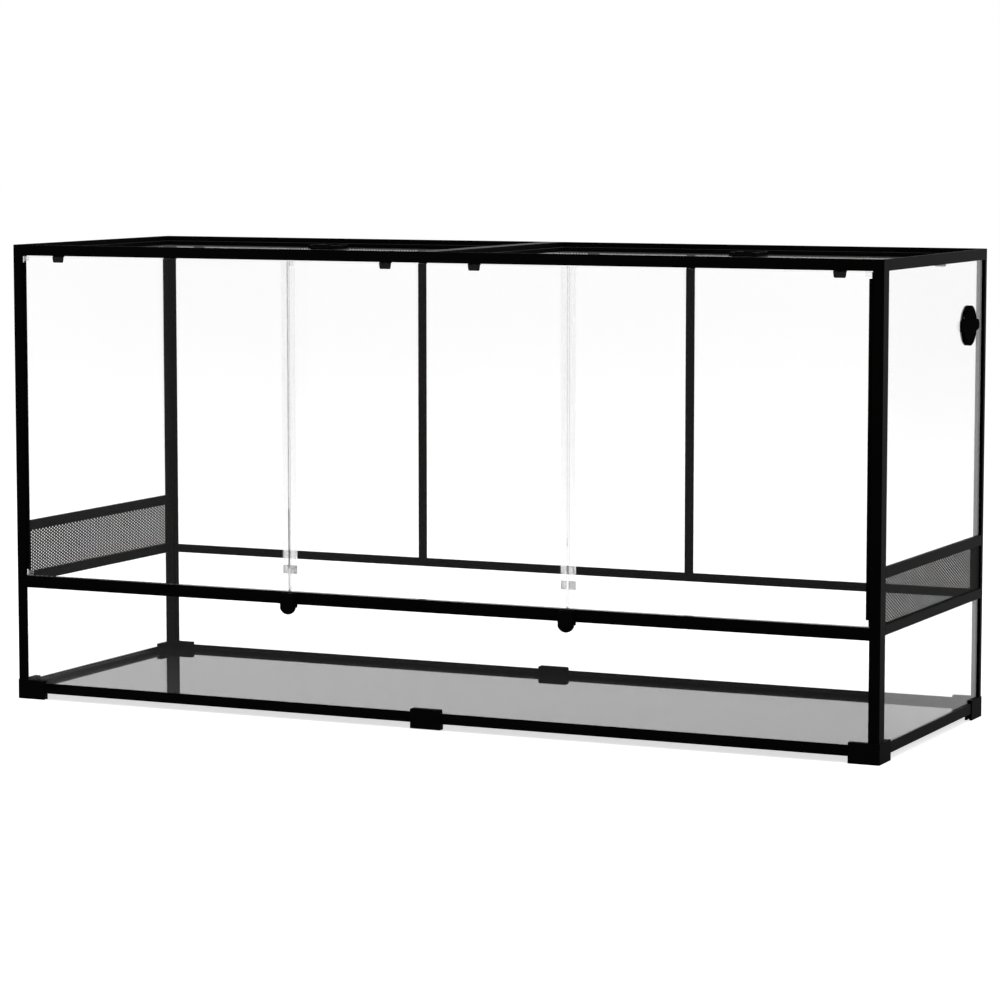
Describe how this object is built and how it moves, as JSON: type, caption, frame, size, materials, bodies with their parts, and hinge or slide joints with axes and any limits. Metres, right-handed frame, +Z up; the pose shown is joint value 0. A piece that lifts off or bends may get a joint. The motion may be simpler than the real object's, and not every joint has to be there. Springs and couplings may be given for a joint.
{
  "type": "reptile terrarium",
  "caption": "Low wide glass terrarium with a black profile frame, hinged front doors over a deep front pane, turn latches, mesh lids, side vents and a round cable port.",
  "frame": {"origin": "centre of the overall box at the ground plane", "axes": "+X along the width to the viewer's right, -Y towards the doors, +Z up"},
  "size_m": [1.2012, 0.4086, 0.6],
  "materials": {
    "black_profile": "satin black powder coat on extruded aluminium",
    "black_plastic": "fine-grained black moulding",
    "perforated_sheet": "black coated sheet with staggered round holes",
    "clear_plastic": "clear extruded plastic, slightly hazy",
    "clear_glass": "polished float glass",
    "floor_glass": "dark tinted float glass, mirror-like at low angles"
  },
  "bodies": {
    "frame": {"post_front_left": "black_profile", "post_front_right": "black_profile", "post_rear_left": "black_profile", "post_rear_right": "black_profile", "rail_top_front": "black_profile", "rail_top_rear": "black_profile", "rail_top_left": "black_profile", "rail_top_right": "black_profile", "bar_top": "black_profile", "rail_mid_front": "black_profile", "rail_mid_rear": "black_profile", "divider_rear_left": "black_profile", "divider_rear_right": "black_profile", "vent_frame_left": "black_profile", "vent_frame_right": "black_profile", "rail_bottom_front": "black_profile", "rail_bottom_rear": "black_profile", "rail_bottom_left": "black_profile", "rail_bottom_right": "black_profile", "block_front_left": "black_plastic", "block_front_right": "black_plastic", "block_rear_left": "black_plastic", "block_rear_right": "black_plastic", "coupling_front": "black_plastic", "coupling_rear": "black_plastic", "floor_pane": "floor_glass", "pane_front_lower": "clear_glass", "pane_rear_lower": "clear_glass", "pane_left_lower": "clear_glass", "pane_right_lower": "clear_glass", "pane_left_upper": "clear_glass", "pane_right_upper": "clear_glass", "pane_rear_left": "clear_glass", "pane_rear_middle": "clear_glass", "pane_rear_right": "clear_glass", "vent_mesh_left": "perforated_sheet", "vent_mesh_right": "perforated_sheet", "port_body": "black_plastic", "port_nut": "black_plastic", "latch_base_left": "black_plastic", "latch_base_right": "black_plastic"},
    "door_left": {"door_left": "clear_glass", "door_left_fittings": "clear_plastic"},
    "door_middle": {"door_middle": "clear_glass", "door_middle_fittings": "clear_plastic"},
    "door_right": {"door_right": "clear_glass", "door_right_fittings": "clear_plastic"},
    "latch_left": {"latch_left": "black_plastic"},
    "latch_right": {"latch_right": "black_plastic"},
    "lid_left": {"lid_rim_left": "black_plastic", "lid_clips_left": "black_plastic", "lid_mesh_left": "perforated_sheet", "inlet_left": "black_plastic"},
    "lid_right": {"lid_rim_right": "black_plastic", "lid_clips_right": "black_plastic", "lid_mesh_right": "perforated_sheet", "inlet_right": "black_plastic"},
    "shutter_left": {"shutter_left": "black_plastic"},
    "shutter_right": {"shutter_right": "black_plastic"},
    "port_cap": {"port_cap": "black_plastic"}
  },
  "joints": [
    {"name": "door_left_hinge", "type": "hinge", "parent": "frame", "child": "door_left", "pos_m": [-0.58, -0.1939, 0.1651], "axis": [0, 0, -1], "range_deg": [0, 100]},
    {"name": "door_middle_hinge", "type": "hinge", "parent": "frame", "child": "door_middle", "pos_m": [-0.1871, -0.1939, 0.1651], "axis": [0, 0, -1], "range_deg": [0, 100]},
    {"name": "door_right_hinge", "type": "hinge", "parent": "frame", "child": "door_right", "pos_m": [0.58, -0.1939, 0.1651], "axis": [0, 0, 1], "range_deg": [0, 100]},
    {"name": "latch_left_turn", "type": "hinge", "parent": "frame", "child": "latch_left", "pos_m": [-0.1923, -0.1963, 0.156], "axis": [0, 1, 0], "range_deg": [-180, 0]},
    {"name": "latch_right_turn", "type": "hinge", "parent": "frame", "child": "latch_right", "pos_m": [0.195, -0.1963, 0.156], "axis": [0, 1, 0], "range_deg": [-180, 0]},
    {"name": "lid_left_lift", "type": "slide", "parent": "frame", "child": "lid_left", "axis": [0, 0, 1], "range_m": [0, 0.15]},
    {"name": "lid_right_lift", "type": "slide", "parent": "frame", "child": "lid_right", "axis": [0, 0, 1], "range_m": [0, 0.15]},
    {"name": "shutter_left_slide", "type": "slide", "parent": "lid_left", "child": "shutter_left", "axis": [0, -1, 0], "range_m": [0, 0.03]},
    {"name": "shutter_right_slide", "type": "slide", "parent": "lid_right", "child": "shutter_right", "axis": [0, -1, 0], "range_m": [0, 0.03]},
    {"name": "port_cap_turn", "type": "hinge", "parent": "frame", "child": "port_cap", "pos_m": [0.5996, 0.1382, 0.5055], "axis": [1, 0, 0], "range_deg": [0, 90]}
  ]
}
